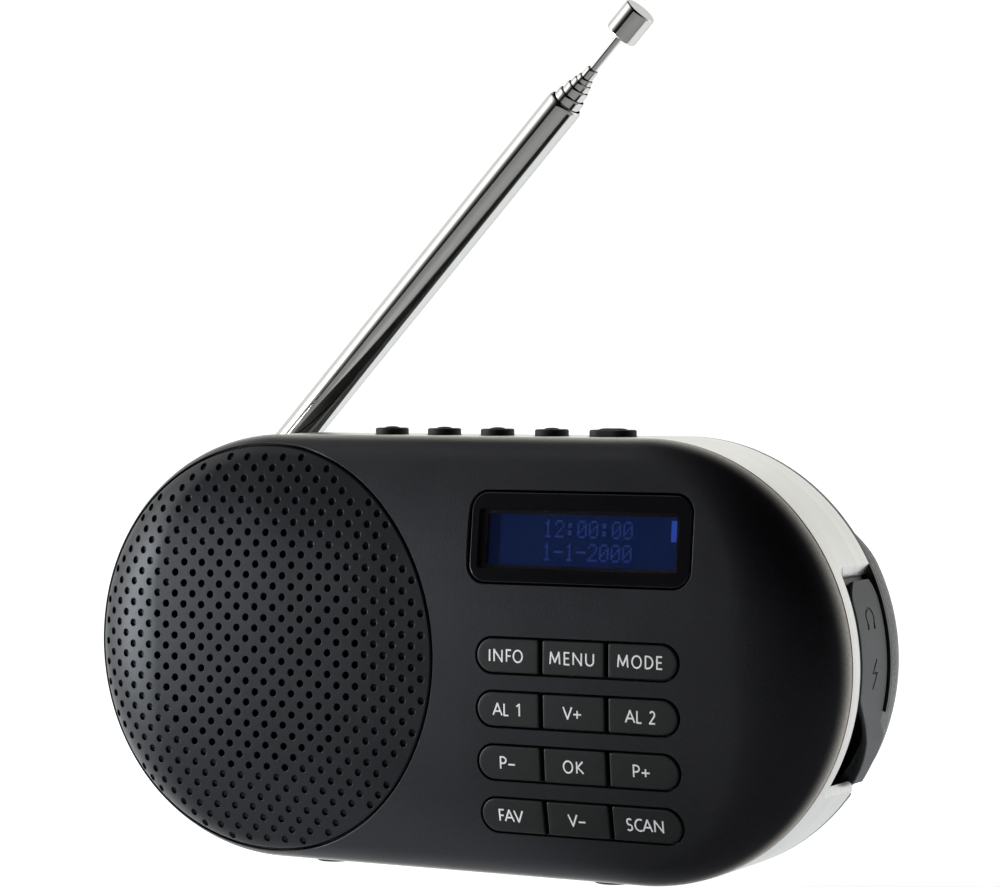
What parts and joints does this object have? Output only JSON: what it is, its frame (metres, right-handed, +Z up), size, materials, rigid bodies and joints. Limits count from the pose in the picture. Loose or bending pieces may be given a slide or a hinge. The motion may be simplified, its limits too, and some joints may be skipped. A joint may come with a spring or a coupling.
{
  "type": "tabletop radio",
  "caption": "Portable tabletop radio: stadium-shaped case with a round speaker grille, small display, keypad, top buttons, side port flap and a folding telescopic antenna.",
  "frame": {"origin": "on the surface that the radio stands on, under the middle of the case", "axes": "+X to the right as seen from the front, +Y from the front face to the back, +Z up"},
  "size_m": [0.18, 0.0501, 0.186],
  "materials": {
    "soft_black": "soft-touch moulded plastic, fine matt grain",
    "grille_black": "moulded plastic, satin, perforated",
    "window_black": "smoked clear plastic, polished",
    "display_blue": "liquid crystal glass, deep blue",
    "light_guide": "white light guide",
    "key_black": "satin moulded keys with printed legends",
    "silicone": "grey silicone sheet",
    "board_green": "circuit board with green solder mask",
    "brushed_silver": "metallised plastic, brushed along its length",
    "button_rubber": "black moulded rubber, satin",
    "flap_rubber": "dark grey soft rubber",
    "socket_black": "black moulded plastic",
    "socket_steel": "pressed and plated steel",
    "case_grey": "dark grey plastic, fine spark-eroded texture",
    "battery_wrap": "blue shrink wrap",
    "steel": "plated steel",
    "ferrite": "dark sintered ferrite",
    "cone_paper": "black pressed paper",
    "tin": "tinned steel screening can",
    "chrome": "polished chrome plating",
    "foot_rubber": "black rubber"
  },
  "bodies": {
    "case": {"front_cover": "soft_black", "speaker_grille": "grille_black", "display_window": "window_black", "display_module": "display_blue", "display_backlight": "light_guide", "keypad_membrane": "silicone", "key_board": "board_green", "trim_band": "brushed_silver", "top_button_membrane": "silicone", "top_button_board": "board_green", "port_frame": "soft_black", "headphone_jack": "socket_black", "power_socket": "socket_steel", "socket_board": "board_green", "rear_cover": "case_grey", "battery_pack": "battery_wrap", "case_screw_left_bottom": "steel", "case_screw_left_top": "steel", "case_screw_right_bottom": "steel", "case_screw_right_top": "steel", "speaker_frame": "steel", "speaker_magnet": "ferrite", "speaker_cone": "cone_paper", "speaker_dust_cap": "cone_paper", "main_board": "board_green", "tuner_module": "tin", "foot_front_left": "foot_rubber", "foot_front_right": "foot_rubber", "foot_rear_left": "foot_rubber", "foot_rear_right": "foot_rubber"},
    "key_info": {"key_info": "key_black"},
    "key_menu": {"key_menu": "key_black"},
    "key_mode": {"key_mode": "key_black"},
    "key_alarm_1": {"key_alarm_1": "key_black"},
    "key_volume_up": {"key_volume_up": "key_black"},
    "key_alarm_2": {"key_alarm_2": "key_black"},
    "key_preset_down": {"key_preset_down": "key_black"},
    "key_ok": {"key_ok": "key_black"},
    "key_preset_up": {"key_preset_up": "key_black"},
    "key_favourite": {"key_favourite": "key_black"},
    "key_volume_down": {"key_volume_down": "key_black"},
    "key_scan": {"key_scan": "key_black"},
    "top_button_1": {"top_button_1": "button_rubber"},
    "top_button_2": {"top_button_2": "button_rubber"},
    "top_button_3": {"top_button_3": "button_rubber"},
    "top_button_4": {"top_button_4": "button_rubber"},
    "top_button_5": {"top_button_5": "button_rubber"},
    "port_flap": {"port_flap": "flap_rubber"},
    "battery_door": {"battery_door": "case_grey"},
    "antenna_swivel": {"antenna_swivel": "chrome", "antenna_hinge_pin": "chrome", "antenna_retaining_clip": "steel"},
    "antenna_tube_1": {"antenna_tube_1": "chrome"},
    "antenna_tube_2": {"antenna_tube_2": "chrome"},
    "antenna_tube_3": {"antenna_tube_3": "chrome"},
    "antenna_tube_4": {"antenna_tube_4": "chrome"},
    "antenna_tube_5": {"antenna_tube_5": "chrome"},
    "antenna_tube_6": {"antenna_tube_6": "chrome"},
    "antenna_rod": {"antenna_rod": "chrome", "antenna_tip": "chrome"}
  },
  "joints": [
    {"name": "key_info_press", "type": "slide", "parent": "case", "child": "key_info", "axis": [0, 1, 0], "range_m": [0, 0.0008], "stiffness_N_per_m": 600},
    {"name": "key_menu_press", "type": "slide", "parent": "case", "child": "key_menu", "axis": [0, 1, 0], "range_m": [0, 0.0008], "stiffness_N_per_m": 600},
    {"name": "key_mode_press", "type": "slide", "parent": "case", "child": "key_mode", "axis": [0, 1, 0], "range_m": [0, 0.0008], "stiffness_N_per_m": 600},
    {"name": "key_alarm_1_press", "type": "slide", "parent": "case", "child": "key_alarm_1", "axis": [0, 1, 0], "range_m": [0, 0.0008], "stiffness_N_per_m": 600},
    {"name": "key_volume_up_press", "type": "slide", "parent": "case", "child": "key_volume_up", "axis": [0, 1, 0], "range_m": [0, 0.0008], "stiffness_N_per_m": 600},
    {"name": "key_alarm_2_press", "type": "slide", "parent": "case", "child": "key_alarm_2", "axis": [0, 1, 0], "range_m": [0, 0.0008], "stiffness_N_per_m": 600},
    {"name": "key_preset_down_press", "type": "slide", "parent": "case", "child": "key_preset_down", "axis": [0, 1, 0], "range_m": [0, 0.0008], "stiffness_N_per_m": 600},
    {"name": "key_ok_press", "type": "slide", "parent": "case", "child": "key_ok", "axis": [0, 1, 0], "range_m": [0, 0.0008], "stiffness_N_per_m": 600},
    {"name": "key_preset_up_press", "type": "slide", "parent": "case", "child": "key_preset_up", "axis": [0, 1, 0], "range_m": [0, 0.0008], "stiffness_N_per_m": 600},
    {"name": "key_favourite_press", "type": "slide", "parent": "case", "child": "key_favourite", "axis": [0, 1, 0], "range_m": [0, 0.0008], "stiffness_N_per_m": 600},
    {"name": "key_volume_down_press", "type": "slide", "parent": "case", "child": "key_volume_down", "axis": [0, 1, 0], "range_m": [0, 0.0008], "stiffness_N_per_m": 600},
    {"name": "key_scan_press", "type": "slide", "parent": "case", "child": "key_scan", "axis": [0, 1, 0], "range_m": [0, 0.0008], "stiffness_N_per_m": 600},
    {"name": "top_button_1_press", "type": "slide", "parent": "case", "child": "top_button_1", "axis": [0, 0, -1], "range_m": [0, 0.0008], "stiffness_N_per_m": 600},
    {"name": "top_button_2_press", "type": "slide", "parent": "case", "child": "top_button_2", "axis": [0, 0, -1], "range_m": [0, 0.0008], "stiffness_N_per_m": 600},
    {"name": "top_button_3_press", "type": "slide", "parent": "case", "child": "top_button_3", "axis": [0, 0, -1], "range_m": [0, 0.0008], "stiffness_N_per_m": 600},
    {"name": "top_button_4_press", "type": "slide", "parent": "case", "child": "top_button_4", "axis": [0, 0, -1], "range_m": [0, 0.0008], "stiffness_N_per_m": 600},
    {"name": "top_button_5_press", "type": "slide", "parent": "case", "child": "top_button_5", "axis": [0, 0, -1], "range_m": [0, 0.0008], "stiffness_N_per_m": 600},
    {"name": "port_flap_hinge", "type": "hinge", "parent": "case", "child": "port_flap", "pos_m": [0.08555, 0, 0.06407], "axis": [0, -1, 0], "range_deg": [0, 100], "stiffness_Nm_per_rad": 0.004},
    {"name": "battery_door_lift_off", "type": "slide", "parent": "case", "child": "battery_door", "axis": [0, 1, 0], "range_m": [0, 0.02]},
    {"name": "antenna_turn", "type": "hinge", "parent": "case", "child": "antenna_swivel", "pos_m": [-0.0705, 0.0135, 0.0774], "axis": [0, 1, 0], "range_deg": [-130, 46.5]},
    {"name": "antenna_tilt", "type": "hinge", "parent": "antenna_swivel", "child": "antenna_tube_1", "pos_m": [-0.0705, 0.0135, 0.0774], "axis": [-0.726, 0, 0.6877], "range_deg": [0, 90]},
    {"name": "antenna_tube_2_slide", "type": "slide", "parent": "antenna_tube_1", "child": "antenna_tube_2", "axis": [0.6877, 0, 0.726], "range_m": [0, 0.098]},
    {"name": "antenna_tube_3_slide", "type": "slide", "parent": "antenna_tube_2", "child": "antenna_tube_3", "axis": [0.6877, 0, 0.726], "range_m": [0, 0.098]},
    {"name": "antenna_tube_4_slide", "type": "slide", "parent": "antenna_tube_3", "child": "antenna_tube_4", "axis": [0.6877, 0, 0.726], "range_m": [0, 0.098]},
    {"name": "antenna_tube_5_slide", "type": "slide", "parent": "antenna_tube_4", "child": "antenna_tube_5", "axis": [0.6877, 0, 0.726], "range_m": [0, 0.098]},
    {"name": "antenna_tube_6_slide", "type": "slide", "parent": "antenna_tube_5", "child": "antenna_tube_6", "axis": [0.6877, 0, 0.726], "range_m": [0, 0.098]},
    {"name": "antenna_rod_slide", "type": "slide", "parent": "antenna_tube_6", "child": "antenna_rod", "axis": [0.6877, 0, 0.726], "range_m": [0, 0.098]}
  ]
}
